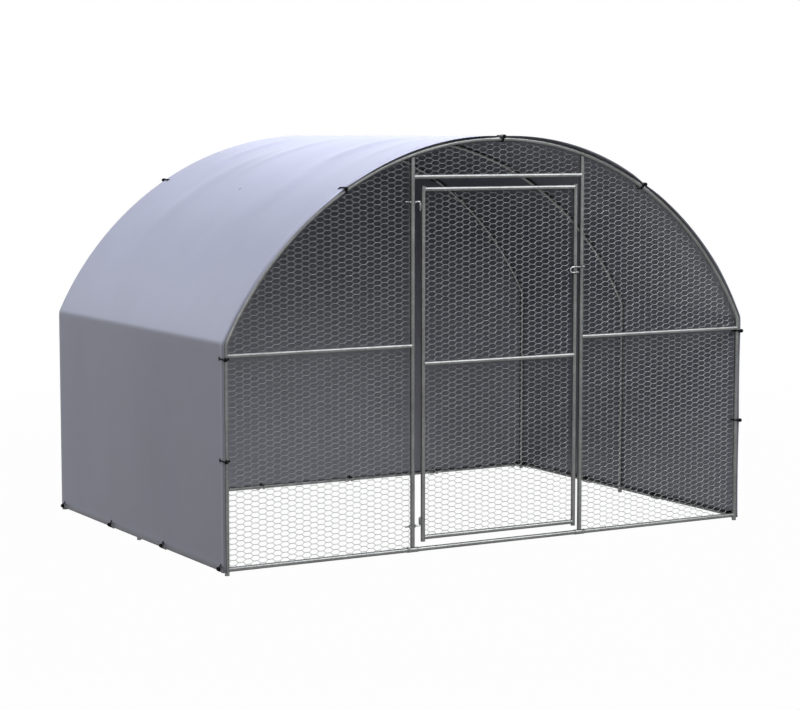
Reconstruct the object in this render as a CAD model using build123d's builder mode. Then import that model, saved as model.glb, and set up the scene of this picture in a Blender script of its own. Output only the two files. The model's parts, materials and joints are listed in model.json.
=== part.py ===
"""Walk-in poultry run: galvanised tube hoops, a netted front with a hinged door, and a tarpaulin cover.

Millimetres, +Z up, door at the front (-Y). The origin is on the ground, in the middle of the footprint.
"""
import os
from collections import namedtuple
from math import atan2, cos, degrees, radians, sin, sqrt

from build123d import *

os.makedirs("parts", exist_ok=True)

# Driving dimensions of the frame
leg_spacing = 2940.0  # legs of one hoop, centre to centre
hoop_spacing = 1030.0  # one hoop to the next, front to back
shoulder_height = 1070.0  # where the legs break into the roof arch
ridge_height = 2000.0  # top of the arch, on the tube's centre line
base_height = 27.5  # centre of the rails that lie near the ground
mid_rail_drop = 55.0  # mid rails below the shoulders
header_drop = 90.0  # header below the heads of the door posts
post_spacing = 970.0  # the two door posts, centre to centre

# Tube stock and the joints between tubes
tube_diameter = 22.0
tube_wall = 1.0
tube_sides = 12  # all tubes are drawn with this many sides, 22 mm across flats
slip = 0.1  # radial play where one tube slips into another
seat_gap = 0.3  # play where a square tube end stands against another tube
arch_tail = 26.0  # straight foot of the arch, below the shoulder
spigot_length = 60.0  # drawn-in tube end that slips into the next tube
neck_length = 4.0
arch_chords = 21  # the arch's bend is drawn as this many chords, an odd number
lug_length = 45.0  # flat lugs, welded on, that the rails slip over
lug_thickness = 3.0
post_seat = 1.2  # play between the head of a post and the arch above it
ridge_collar = 26.0
sleeve_wall = 1.5
sleeve_length = 60.0

# Door
hinge_side_gap = 36.0  # clear gap between the hinge post and the door
latch_side_gap = 16.0
door_foot = 63.0
door_head_gap = 33.0  # clear gap between the door and the header
door_top_rail_drop = 15.0  # from the stiles' upper ends to the top rail
door_bottom_rail_rise = 20.0
door_middle_rail_height = 926.0
rail_horn = 5.0  # from a stile's axis to the tips of a coped rail
weld_gap = 0.05
weld_bite = 0.6  # how deep a small tube is saddled on a large one

# Hinges: a bent hook through the post, in a sleeve on the door
hook_diameter = 8.0
hook_bend = 6.0
upper_hook_drop = 74.0  # from the door's top down to the upper hook
lower_hook_rise = 79.0  # from the door's foot up to the lower hook
hook_tail = 40.0  # from the post's axis to the threaded end
hinge_sleeve_diameter = 12.6
hinge_sleeve_length = 30.0
hook_tip = 6.0  # pin standing out of the far end of the sleeve
pin_play = 0.3  # radial play of a pin or bolt in its sleeve
rod_sides = 8  # rods are drawn with this many sides
rod_chord_angle = 30.0  # and their bends with a chord for each such angle
nut_across_flats = 13.0
nut_height = 6.5
nut_play = 0.05
hook_hole_play = 0.2

# Latch: a rod bent into a U that slides in two guides
latch_height = 1366.0  # upper leg of the rod
latch_pitch = 27.0
latch_diameter = 7.0
latch_throw = 14.0
latch_tip_gap = 1.5
latch_stub = 4.0  # lower leg standing out of its guide
guide_diameter = 12.0
guide_length = 18.0

# Wire netting, drawn with coarse gaps
net_thickness = 2.0
net_strand = 6.0
net_column_pitch = 220.0
net_row_pitch = 142.0
net_flat = 143.0  # length of the twisted sides
net_overlap = 6.0  # how far the netting reaches behind a tube's centre line

# Tarpaulin cover and its elastic ties
cover_thickness = 1.2
cover_gap = 0.5
cover_overhang = 10.0  # cover in front of the front hoop's centre line
cover_seam_gap = 0.2
hem_height = 24.0
cord_thickness = 3.0
cord_width = 4.0
ball_diameter = 20.0
ball_sides = 6
ball_taper = 35.0
ball_rise = 11.0  # ball of an edge tie, out from the tube's centre line
eyelet_hole = 10.0
eyelet_sides = 6
eyelet_setback = 40.0  # eyelets behind the front hoop, and before the back hoop
hem_eyelet_rise = 13.5  # eyelets above the base rails' centre line
lower_tie_height = 532.0  # lower tie on each front leg
upper_tie_drop = 13.5  # upper tie on each front leg, below the mid rail
arch_tie_angle = 31.5  # from the ridge, degrees
ridge_tie_gap = 1.0  # between the ridge pole and the tie beside it
hem_tie_inset = 40.0  # from a corner leg to the nearest tie of the hem
side_tie_count = 4
back_tie_count = 6

# Radii of the tube stock
tube_r = tube_diameter / 2
bore_r = tube_r - tube_wall
spigot_r = bore_r - slip
spigot_bore_r = spigot_r - tube_wall
neck_r = (tube_r + bore_r) / 2
sleeve_r = tube_r + slip + sleeve_wall
lug_width = 2 * sqrt((bore_r - slip) ** 2 - (lug_thickness / 2) ** 2)

# The arch is a circle through both shoulders and the ridge
leg_x = leg_spacing / 2
rise = ridge_height - shoulder_height
arch_radius = (leg_x**2 + rise**2) / (2 * rise)
arch_centre = ridge_height - arch_radius
arch_half_angle = degrees(atan2(leg_x, shoulder_height - arch_centre))
chord_angle = 2 * arch_half_angle / arch_chords
chord_radius = arch_radius * cos(radians(chord_angle / 2))
half_chord = arch_radius * sin(radians(chord_angle / 2))
chord_sag = arch_radius - chord_radius
ridge_line = arch_centre + chord_radius
ridge_spigot = half_chord - ridge_collar / 2 - neck_length
leg_top = shoulder_height - arch_tail
mid_rail_height = shoulder_height - mid_rail_drop

# Layers outside a tube's centre line: the cover, then the elastic cord, then its ball
cover_in = tube_r + cover_gap
cover_out = cover_in + cover_thickness
cord_in = cover_out + seat_gap
cord_out = cord_in + cord_thickness
ball_out = cord_out + seat_gap + ball_diameter
cord_reach = tube_r + chord_sag + seat_gap
tie_front = max(cover_overhang, tube_r) + seat_gap

# Hoops from front to back, with the footprint's middle at the origin
front_reach = tie_front + cord_thickness + seat_gap + ball_diameter
front_y = (front_reach - ball_out) / 2 - hoop_spacing
middle_y = front_y + hoop_spacing
back_y = middle_y + hoop_spacing
cover_front = front_y - cover_overhang
cover_back = back_y + cover_out

# Door posts and door
post_x = post_spacing / 2
post_foot = base_height + sleeve_r + seat_gap
head_radius = chord_radius - tube_r - post_seat
post_head = arch_centre + sqrt(head_radius**2 - post_x**2)
header_height = post_head - header_drop
hinge_stile_x = hinge_side_gap + tube_diameter - post_x
latch_stile_x = post_x - tube_diameter - latch_side_gap
door_top = header_height - tube_r - door_head_gap
door_rail_heights = {
    "door_bottom_rail": door_foot + door_bottom_rail_rise,
    "door_middle_rail": door_middle_rail_height,
    "door_top_rail": door_top - door_top_rail_drop,
}
hook_r = hook_diameter / 2
upper_hook_height = door_top - upper_hook_drop
lower_hook_height = door_foot + lower_hook_rise
hinge_sleeve_r = hinge_sleeve_diameter / 2
hinge_x = hinge_stile_x - tube_r - hinge_sleeve_r + weld_bite
guide_r = guide_diameter / 2
guide_bore_r = latch_diameter / 2 + pin_play
latch_y = front_y - tube_r - guide_r + weld_bite

# Netting lies behind the tubes, clear of the sleeves and of the cover's cords
net_inset = cord_reach + cord_thickness + seat_gap
frame_net_y = front_y + sleeve_r + seat_gap
door_net_y = front_y + tube_r + seat_gap

END = (Align.CENTER, Align.CENTER, Align.MIN)
RIGHT, BACK, LEFT, FRONT = 0, 90, 180, 270


def save(piece, name):
    """Labels a finished piece and writes its file."""
    piece.part.label = name
    export_step(piece.part, f"parts/{name}.step")


def arch_point(angle, radius):
    """A point on a circle about the arch's centre, at an angle from the ridge towards +X."""
    turn = radians(angle)
    return (radius * sin(turn), arch_centre + radius * cos(turn))


def rod_bend(centre, radius, start, end):
    """Points along a rod's bend, from one angle about its centre to another."""
    chords = round(abs(end - start) / rod_chord_angle)
    turns = [radians(start + (end - start) * i / chords) for i in range(chords + 1)]
    return [(centre[0] + radius * cos(t), centre[1] + radius * sin(t)) for t in turns]


def along_x(x, y, z):
    """A plane whose normal runs along +X."""
    return Plane(origin=(x, y, z), x_dir=(0, 1, 0), z_dir=(1, 0, 0))


def tube_outline(radius):
    """A tube's many-sided outline, with a flat towards each axis of its sketch."""
    RegularPolygon(radius, tube_sides, major_radius=False, rotation=180 / tube_sides)


def add_bar(start, radius, length, mode=Mode.ADD):
    """A straight bar with a tube's outline, from the plane start along its normal."""
    with BuildSketch(start, mode=Mode.PRIVATE) as section:
        tube_outline(radius)
    extrude(section.sketch, amount=length, mode=mode)


def add_lug(x, y, z, heading):
    """Welds a flat lug on a tube, from its axis outwards, for a rail to slip over."""
    with Locations(Location((x, y, z), (0, 0, heading))):
        Box(
            tube_r + lug_length,
            lug_thickness,
            lug_width,
            align=(Align.MIN, Align.CENTER, Align.CENTER),
        )


def add_spigot(end):
    """Draws in a tube's end, from the plane end outwards, to slip into the next tube."""
    neck = end.offset(-neck_length)
    add_bar(neck, neck_r, neck_length)
    add_bar(end, spigot_r, spigot_length)
    add_bar(neck, spigot_bore_r, neck_length + spigot_length, Mode.SUBTRACT)


def make_leg(name, x, y, lugs):
    """An upright tube that stands on the ground, with a lug for each rail that meets it."""
    ground = Plane((x, y, 0))
    with BuildPart() as leg:
        add_bar(ground, tube_r, leg_top)
        for height, heading in lugs:
            add_lug(x, y, height, heading)
        add_bar(ground, bore_r, leg_top, Mode.SUBTRACT)
    save(leg, name)


def make_rail(name, start, end, spigot=False):
    """A straight tube, cut square at both ends, or drawn in at its far end."""
    run = Vector(*end) - Vector(*start)
    with BuildPart() as rail:
        add_bar(Plane(origin=start, z_dir=run), tube_r, run.length)
        add_bar(Plane(origin=start, z_dir=run), bore_r, run.length, Mode.SUBTRACT)
        if spigot:
            add_spigot(Plane(origin=end, z_dir=run))
    save(rail, name)


def make_arch_half(name, side, y, post_lug):
    """Half of a roof arch: a straight foot with a spigot, then the bent run up to the ridge."""
    bend = [
        arch_point(arch_half_angle - i * chord_angle, arch_radius)
        for i in range(arch_chords // 2 + 1)
    ]
    route = [(leg_x, leg_top), *bend, (ridge_collar / 2, ridge_line)]
    with BuildPart() as arch:
        with BuildLine(Plane.XZ.offset(-y)) as line:
            Polyline(*[(side * x, z) for x, z in route])
        foot = Plane(line.line @ 0)
        with BuildSketch(foot):
            tube_outline(tube_r)
        sweep(path=line.line, transition=Transition.RIGHT)
        if post_lug:
            with Locations((side * post_x, y, post_head + tube_diameter)):
                Box(
                    lug_width,
                    lug_thickness,
                    tube_diameter + lug_length,
                    align=(Align.CENTER, Align.CENTER, Align.MAX),
                )
        with BuildSketch(foot):
            tube_outline(bore_r)
        sweep(path=line.line, transition=Transition.RIGHT, mode=Mode.SUBTRACT)
        add_spigot(Plane(origin=line.line @ 0, z_dir=(0, 0, -1)))
    save(arch, name)


def make_ridge_connector(name, y, headings):
    """A collar between two arch halves, with a spigot into each and a lug for each ridge pole."""
    reach = ridge_collar / 2 + ridge_spigot
    with BuildPart() as connector:
        add_bar(along_x(-ridge_collar / 2, y, ridge_line), tube_r, ridge_collar)
        add_bar(along_x(-reach, y, ridge_line), spigot_r, 2 * reach)
        for heading in headings:
            add_lug(0, y, ridge_line, heading)
        add_bar(along_x(-reach, y, ridge_line), spigot_bore_r, 2 * reach, Mode.SUBTRACT)
    save(connector, name)


# Legs: two under each hoop, with lugs for the base rails and, at the front, the mid rails
for label, y, fore_and_aft in (
    ("front", front_y, (BACK,)),
    ("middle", middle_y, (FRONT, BACK)),
    ("back", back_y, (FRONT,)),
):
    for hand, x, inward in (("left", -leg_x, RIGHT), ("right", leg_x, LEFT)):
        leg_lugs = [(base_height, heading) for heading in fore_and_aft]
        if label != "middle":
            leg_lugs.append((base_height, inward))
        if label == "front":
            leg_lugs.append((mid_rail_height, inward))
        make_leg(f"{label}_{hand}_leg", x, y, leg_lugs)

# Roof arches: a left and a right half over each pair of legs
for label, y in (("front", front_y), ("middle", middle_y), ("back", back_y)):
    make_arch_half(f"{label}_left_arch", -1, y, label == "front")
    make_arch_half(f"{label}_right_arch", 1, y, label == "front")

# Ridge: connectors between the arch halves, and two poles that space the hoops
make_ridge_connector("front_ridge_connector", front_y, (BACK,))
make_ridge_connector("middle_ridge_connector", middle_y, (FRONT, BACK))
make_ridge_connector("back_ridge_connector", back_y, (FRONT,))
butt = tube_r + seat_gap
for label, y in (("front", front_y), ("back", middle_y)):
    make_rail(
        f"{label}_ridge_pole",
        (0, y + butt, ridge_line),
        (0, y + hoop_spacing - butt, ridge_line),
    )

# Base rails along both sides and across the back
for hand, x in (("left", -leg_x), ("right", leg_x)):
    for label, y in (("front", front_y), ("back", middle_y)):
        make_rail(
            f"{hand}_side_rail_{label}",
            (x, y + butt, base_height),
            (x, y + hoop_spacing - butt, base_height),
        )
make_rail(
    "rear_rail_left",
    (butt - leg_x, back_y, base_height),
    (-seat_gap, back_y, base_height),
    spigot=True,
)
make_rail(
    "rear_rail_right",
    (leg_x - butt, back_y, base_height),
    (0, back_y, base_height),
)

# Front rails: base rails that meet in the post tees, mid rails, and the header over the door
make_rail(
    "front_rail_left",
    (butt - leg_x, front_y, base_height),
    (-post_x - seat_gap, front_y, base_height),
)
make_rail(
    "door_sill",
    (-post_x, front_y, base_height),
    (post_x, front_y, base_height),
)
make_rail(
    "front_rail_right",
    (post_x + seat_gap, front_y, base_height),
    (leg_x - butt, front_y, base_height),
)
make_rail(
    "left_mid_rail",
    (butt - leg_x, front_y, mid_rail_height),
    (-post_x - butt, front_y, mid_rail_height),
)
make_rail(
    "right_mid_rail",
    (post_x + butt, front_y, mid_rail_height),
    (leg_x - butt, front_y, mid_rail_height),
)
make_rail(
    "door_header",
    (butt - post_x, front_y, header_height),
    (post_x - butt, front_y, header_height),
)

# Post tees: a sleeve round the joint of two base rails, with a lug that the post slips over
for name, x in (("left_post_tee", -post_x), ("right_post_tee", post_x)):
    with BuildPart() as post_tee:
        sleeve_end = along_x(x - sleeve_length / 2, front_y, base_height)
        add_bar(sleeve_end, sleeve_r, sleeve_length)
        with Locations((x, front_y, base_height)):
            Box(lug_width, lug_thickness, sleeve_r + lug_length, align=END)
        add_bar(sleeve_end, tube_r + slip, sleeve_length, Mode.SUBTRACT)
    save(post_tee, name)

# Door posts: from the tees up to the arch, with the head cut along the arch's slope
for name, side in (("hinge_post", -1), ("latch_post", 1)):
    outward, inward = (LEFT, RIGHT) if side < 0 else (RIGHT, LEFT)
    head = (side * post_x, front_y, post_head)
    slope = (side * post_x, 0, post_head - arch_centre)
    foot = Plane((side * post_x, front_y, post_foot))
    with BuildPart() as post:
        add_bar(foot, tube_r, ridge_height - post_foot)
        add_lug(side * post_x, front_y, mid_rail_height, outward)
        add_lug(side * post_x, front_y, header_height, inward)
        add_bar(foot, bore_r, ridge_height - post_foot, Mode.SUBTRACT)
        split(bisect_by=Plane(origin=head, z_dir=slope), keep=Keep.BOTTOM)
        if name == "hinge_post":
            for height in (upper_hook_height, lower_hook_height):
                with BuildSketch(along_x(-post_x, front_y, height)):
                    RegularPolygon(
                        hook_r + hook_hole_play, rod_sides, major_radius=False
                    )
            extrude(amount=tube_diameter, both=True, mode=Mode.SUBTRACT)
    save(post, name)

# Hinge hooks: a rod through the post, bent so that the upper pin points down and the lower one up
pin_length = hook_bend + seat_gap + hinge_sleeve_length + hook_tip
for name, height, way in (
    ("upper_hinge_hook", upper_hook_height, -1),
    ("lower_hinge_hook", lower_hook_height, 1),
):
    with BuildPart() as hook:
        with BuildLine(Plane.XZ.offset(-front_y)) as rod:
            Polyline(
                (-post_x - hook_tail, height),
                *rod_bend(
                    (hinge_x - hook_bend, height + way * hook_bend),
                    hook_bend,
                    -90 * way,
                    0,
                ),
                (hinge_x, height + way * pin_length),
            )
        with BuildSketch(along_x(-post_x - hook_tail, front_y, height)):
            RegularPolygon(hook_r, rod_sides)
        sweep(path=rod.line, transition=Transition.RIGHT)
    save(hook, name)

# Hinge nuts: one on each side of the post, on both hooks
with BuildPart() as hinge_nuts:
    nut_offset = tube_r + seat_gap + nut_height / 2
    for height in (upper_hook_height, lower_hook_height):
        for x in (-post_x - nut_offset, nut_offset - post_x):
            with BuildSketch(along_x(x, front_y, height)):
                RegularPolygon(nut_across_flats / 2, 6, major_radius=False)
                RegularPolygon(
                    hook_r + nut_play,
                    rod_sides,
                    major_radius=False,
                    mode=Mode.SUBTRACT,
                )
    extrude(amount=nut_height / 2, both=True)
save(hinge_nuts, "hinge_nuts")

# Door frame: two stiles and three rails, coped and welded
for name, x in (("hinge_stile", hinge_stile_x), ("latch_stile", latch_stile_x)):
    make_rail(name, (x, front_y, door_foot), (x, front_y, door_top))
for name, height in door_rail_heights.items():
    horn = along_x(hinge_stile_x + rail_horn, front_y, height)
    door_rail_length = latch_stile_x - hinge_stile_x - 2 * rail_horn
    with BuildPart() as door_rail:
        add_bar(horn, tube_r, door_rail_length)
        add_bar(horn, bore_r, door_rail_length, Mode.SUBTRACT)
        for x in (hinge_stile_x, latch_stile_x):
            below = Plane((x, front_y, height - tube_diameter))
            add_bar(below, tube_r + weld_gap, 2 * tube_diameter, Mode.SUBTRACT)
    save(door_rail, name)

# Hinge sleeves: short tubes saddled and welded on the hinge stile, round the hooks' pins
sleeve_rise = hook_bend + seat_gap
for name, foot in (
    (
        "upper_hinge_sleeve",
        upper_hook_height - sleeve_rise - hinge_sleeve_length,
    ),
    ("lower_hinge_sleeve", lower_hook_height + sleeve_rise),
):
    pin_end = Plane((hinge_x, front_y, foot))
    stile = Plane((hinge_stile_x, front_y, foot))
    with BuildPart() as hinge_sleeve:
        add_bar(pin_end, hinge_sleeve_r, hinge_sleeve_length)
        add_bar(pin_end, hook_r + pin_play, hinge_sleeve_length, Mode.SUBTRACT)
        add_bar(stile, tube_r + weld_gap, hinge_sleeve_length, Mode.SUBTRACT)
    save(hinge_sleeve, name)

# Latch guides on the latch stile, and the keeper on the post beside it
latch_legs = (latch_height, latch_height - latch_pitch)
for name, x, heights in (
    ("latch_guides", latch_stile_x, latch_legs),
    ("latch_keeper", post_x, latch_legs[:1]),
):
    with BuildPart() as guides:
        for height in heights:
            guide_end = along_x(x - guide_length / 2, latch_y, height)
            below = Plane((x, front_y, height - guide_diameter))
            add_bar(guide_end, guide_r, guide_length)
            add_bar(guide_end, guide_bore_r, guide_length, Mode.SUBTRACT)
            add_bar(below, tube_r + weld_gap, 2 * guide_diameter, Mode.SUBTRACT)
    save(guides, name)

# Latch bolt: its upper leg stops short of the keeper and slides into it
with BuildPart() as latch_bolt:
    tip_x = post_x - guide_length / 2 - latch_tip_gap
    stub_x = latch_stile_x + guide_length / 2 + latch_stub
    bend_x = latch_stile_x - guide_length / 2 - latch_throw - seat_gap
    upper_leg, lower_leg = latch_legs
    with BuildLine(Plane.XZ.offset(-latch_y)) as latch_rod:
        Polyline(
            (tip_x, upper_leg),
            *rod_bend(
                (bend_x, (upper_leg + lower_leg) / 2), latch_pitch / 2, 90, 270
            ),
            (stub_x, lower_leg),
        )
    with BuildSketch(along_x(tip_x, latch_y, upper_leg)):
        RegularPolygon(latch_diameter / 2, rod_sides)
    sweep(path=latch_rod.line, transition=Transition.RIGHT)
save(latch_bolt, "latch_bolt")


def hoop_face(inset, low):
    """The area under a hoop, drawn in from its centre line by inset, down to the height low."""
    x = leg_x - inset
    radius = arch_radius - inset
    shoulder = arch_centre + sqrt(radius**2 - x**2)
    with BuildSketch(mode=Mode.PRIVATE) as area:
        with BuildLine():
            Polyline((x, shoulder), (x, low), (-x, low), (-x, shoulder))
            ThreePointArc((-x, shoulder), (0, arch_centre + radius), (x, shoulder))
        make_face()
    return area.sketch


def make_net(name, y, left, right, low, high, inset):
    """Netting between two heights and two uprights, kept below a hoop, with six-sided gaps."""
    half_flat = net_flat / 2
    point = net_column_pitch - half_flat
    columns = int((right - left) / net_column_pitch) + 2
    rows = int((high - low) / net_row_pitch) + 2
    cells = [
        (
            left + column * net_column_pitch,
            low + (row + column % 2 / 2) * net_row_pitch,
        )
        for column in range(columns)
        for row in range(rows)
    ]
    shrink = 1 - net_strand / net_row_pitch
    hexagon = [
        (shrink * x, shrink * z * net_row_pitch / 2)
        for x, z in (
            (point, 0),
            (half_flat, 1),
            (-half_flat, 1),
            (-point, 0),
            (-half_flat, -1),
            (half_flat, -1),
        )
    ]
    middle = ((left + right) / 2, (low + high) / 2)
    outline = hoop_face(inset, 0)
    inner_outline = hoop_face(inset + net_strand, 0)
    with BuildSketch() as gaps:
        with Locations(*cells):
            Polygon(*hexagon, align=None)
        with Locations(middle):
            Rectangle(
                right - left - 2 * net_strand,
                high - low - 2 * net_strand,
                mode=Mode.INTERSECT,
            )
        add(inner_outline, mode=Mode.INTERSECT)
    smallest = net_strand * net_row_pitch
    open_gaps = [face for face in gaps.sketch.faces() if face.area > smallest]
    with BuildPart() as net:
        with BuildSketch(Plane.XZ.offset(-y)):
            with Locations(middle):
                Rectangle(right - left, high - low)
            add(outline, mode=Mode.INTERSECT)
            add(open_gaps, mode=Mode.SUBTRACT)
        extrude(amount=-net_thickness)
    save(net, name)


# Netting of the front, one sheet on each side of the door and one over it
post_edge = post_x - seat_gap
frame_net_low = base_height - net_overlap
make_net(
    "front_net_left",
    frame_net_y,
    net_inset - leg_x,
    -post_x - seat_gap,
    frame_net_low,
    ridge_height,
    net_inset,
)
make_net(
    "front_net_right",
    frame_net_y,
    post_x + seat_gap,
    leg_x - net_inset,
    frame_net_low,
    ridge_height,
    net_inset,
)
make_net(
    "front_net_top",
    frame_net_y,
    -post_edge,
    post_edge,
    header_height - net_overlap,
    ridge_height,
    net_inset,
)

# Netting of the door
make_net(
    "door_net",
    door_net_y,
    hinge_stile_x - net_overlap,
    latch_stile_x + net_overlap,
    door_rail_heights["door_bottom_rail"] - net_overlap,
    door_rail_heights["door_top_rail"] + net_overlap,
    net_inset,
)

# Ties of the cover: each lies in a plane across a tube, X towards its eyelet and Y out of the cover
Tie = namedtuple("Tie", "plane low eyelet")
rear = Vector(0, 1, 0)
upward = Vector(0, 0, 1)


def edge_tie(centre, outward):
    """A tie that draws the cover's front edge round a leg or an arch of the front hoop."""
    plane = Plane(origin=centre, x_dir=rear, z_dir=rear.cross(outward))
    return Tie(plane, tie_front, eyelet_setback)


def back_edge_tie(centre, outward):
    """A tie that draws the roof to the back arch. It comes out through the back wall, under the arch."""
    plane = Plane(origin=centre, x_dir=-rear, z_dir=outward.cross(rear))
    return Tie(plane, cover_out + seat_gap, eyelet_setback)


def hem_tie(centre, outward):
    """A tie that draws the cover's hem to a base rail."""
    plane = Plane(origin=centre, x_dir=upward, z_dir=upward.cross(outward))
    return Tie(plane, tube_r + seat_gap, hem_eyelet_rise)


def side_ties(side):
    """All ties of one side wall."""
    outward = Vector(side, 0, 0)
    spread = 2 * (hoop_spacing - hem_tie_inset) / (side_tie_count - 1)
    edge = [
        edge_tie((side * leg_x, front_y, height), outward)
        for height in (lower_tie_height, mid_rail_height - upper_tie_drop)
    ]
    hem = [
        hem_tie(
            (side * leg_x, front_y + hem_tie_inset + i * spread, base_height), outward
        )
        for i in range(side_tie_count)
    ]
    return edge + hem


ridge_tie_angle = degrees((tube_r + ridge_tie_gap + cord_width / 2) / arch_radius)
roof_ties = []
for angle in (-arch_tie_angle, ridge_tie_angle, arch_tie_angle):
    x, z = arch_point(angle, arch_radius)
    roof_ties.append(edge_tie((x, front_y, z), Vector(x, 0, z - arch_centre)))
back_arch_ties = []
for angle in (-arch_tie_angle, arch_tie_angle):
    x, z = arch_point(angle, arch_radius)
    back_arch_ties.append(back_edge_tie((x, back_y, z), Vector(x, 0, z - arch_centre)))
roof_ties += back_arch_ties
left_ties = side_ties(-1)
right_ties = side_ties(1)
back_spread = (leg_spacing - 2 * hem_tie_inset) / (back_tie_count - 1)
back_ties = [
    hem_tie((hem_tie_inset - leg_x + i * back_spread, back_y, base_height), rear)
    for i in range(back_tie_count)
]
all_ties = roof_ties + left_ties + right_ties + back_ties


def eyelet_planes(ties):
    """Planes that face out of the cover, at the eyelet of each tie."""
    return [
        Plane(
            origin=tie.plane.from_local_coords((tie.eyelet, cover_in, 0)),
            x_dir=tie.plane.x_dir,
            z_dir=tie.plane.y_dir,
        )
        for tie in ties
    ]


def ball_planes(ties):
    """Planes through the middle of the balls. A hem's ball lies on the cover, and others at its edge."""
    planes = []
    for tie in ties:
        across, out = tie.plane.x_dir, tie.plane.y_dir
        if tie.eyelet == hem_eyelet_rise:
            spot = tie.plane.from_local_coords((0, ball_out - ball_diameter / 2, 0))
            planes.append(Plane(origin=spot, x_dir=across, z_dir=out))
        else:
            reach = tie.low + cord_thickness + seat_gap + ball_diameter / 2
            spot = tie.plane.from_local_coords((-reach, ball_rise, 0))
            planes.append(Plane(origin=spot, x_dir=out, z_dir=-across))
    return planes


def back_wall_planes(ties):
    """Planes on the back wall, where the cords of the back arch come out."""
    return [
        Plane(
            origin=tie.plane.from_local_coords(
                (-cover_in, -cord_reach - cord_thickness / 2, 0)
            ),
            x_dir=tie.plane.y_dir,
            z_dir=rear,
        )
        for tie in ties
    ]


def cover_edge(offset):
    """Where the flat walls break into the roof, for a skin at an offset from the tubes' centre line."""
    x = leg_x + offset
    return x, arch_centre + sqrt((arch_radius + offset) ** 2 - x**2)


inner_x, inner_z = cover_edge(cover_in)
outer_x, outer_z = cover_edge(cover_out)

# Cover roof: one curved sheet from shoulder to shoulder
with BuildPart() as cover_roof:
    with BuildSketch(Plane.XZ.offset(-cover_front)):
        with BuildLine():
            ThreePointArc(
                (-outer_x, outer_z),
                (0, ridge_height + cover_out),
                (outer_x, outer_z),
            )
            Line((outer_x, outer_z), (inner_x, inner_z))
            ThreePointArc(
                (inner_x, inner_z),
                (0, ridge_height + cover_in),
                (-inner_x, inner_z),
            )
            Line((-inner_x, inner_z), (-outer_x, outer_z))
        make_face()
    extrude(amount=cover_front - cover_back)
    with BuildSketch(*eyelet_planes(roof_ties)):
        RegularPolygon(eyelet_hole / 2, eyelet_sides)
    extrude(amount=2 * cover_thickness, both=True, mode=Mode.SUBTRACT)
save(cover_roof, "cover_roof")

# Cover walls: flat sheets from the shoulders down to the hem
for name, side, ties in (
    ("cover_left_wall", -1, left_ties),
    ("cover_right_wall", 1, right_ties),
):
    with BuildPart() as cover_wall:
        with BuildSketch(Plane.XZ.offset(-cover_front)):
            with BuildLine():
                Polyline(
                    (side * inner_x, hem_height),
                    (side * outer_x, hem_height),
                    (side * outer_x, outer_z),
                    (side * inner_x, inner_z),
                    close=True,
                )
            make_face()
        extrude(amount=cover_front - cover_back)
        with BuildSketch(*eyelet_planes(ties)):
            RegularPolygon(eyelet_hole / 2, eyelet_sides)
        extrude(amount=2 * cover_thickness, both=True, mode=Mode.SUBTRACT)
    save(cover_wall, name)

# Cover back wall: a flat sheet with the hoop's outline
back_outline = hoop_face(cover_seam_gap - cover_in, hem_height)
with BuildPart() as cover_back_wall:
    with BuildSketch(Plane.XZ.offset(-back_y - cover_in)):
        add(back_outline)
    extrude(amount=-cover_thickness)
    with BuildSketch(*eyelet_planes(back_ties), *back_wall_planes(back_arch_ties)):
        RegularPolygon(eyelet_hole / 2, eyelet_sides)
    extrude(amount=2 * cover_thickness, both=True, mode=Mode.SUBTRACT)
save(cover_back_wall, "cover_back_wall")

# Elastic cords: each goes through its eyelet and round the tube, over the edge of the cover
with BuildPart() as tie_cords:
    for tie in all_ties:
        inner_run = cord_reach if tie in roof_ties else tube_r + seat_gap
        start_x, end_x = -tie.low, tie.eyelet - cord_thickness / 2
        start_y, end_y = -inner_run, cord_in
        loop_middle = ((start_x + end_x) / 2, (start_y + end_y) / 2)
        with BuildSketch(tie.plane) as loop:
            with Locations(loop_middle):
                Rectangle(
                    end_x - start_x + 2 * cord_thickness,
                    end_y - start_y + 2 * cord_thickness,
                )
            chamfer(loop.vertices(), cord_thickness)
            with Locations(loop_middle):
                Rectangle(end_x - start_x, end_y - start_y, mode=Mode.SUBTRACT)
        extrude(amount=cord_width / 2, both=True)
save(tie_cords, "tie_cords")

# Balls that hold the cords, outside the cover
with BuildPart() as tie_balls:
    with BuildSketch(*ball_planes(all_ties)):
        RegularPolygon(ball_diameter / 2, ball_sides)
    extrude(amount=ball_diameter / 2, both=True, taper=ball_taper)
save(tie_balls, "tie_balls")
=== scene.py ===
"""Walk-in poultry run: galvanised tube hoops, a netted front with a hinged door, and a tarpaulin cover."""
import json
from math import asin, atan2, cos, exp, pi, radians, sin, sqrt

import bmesh
import bpy
from mathutils import Matrix, Vector, noise


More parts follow.
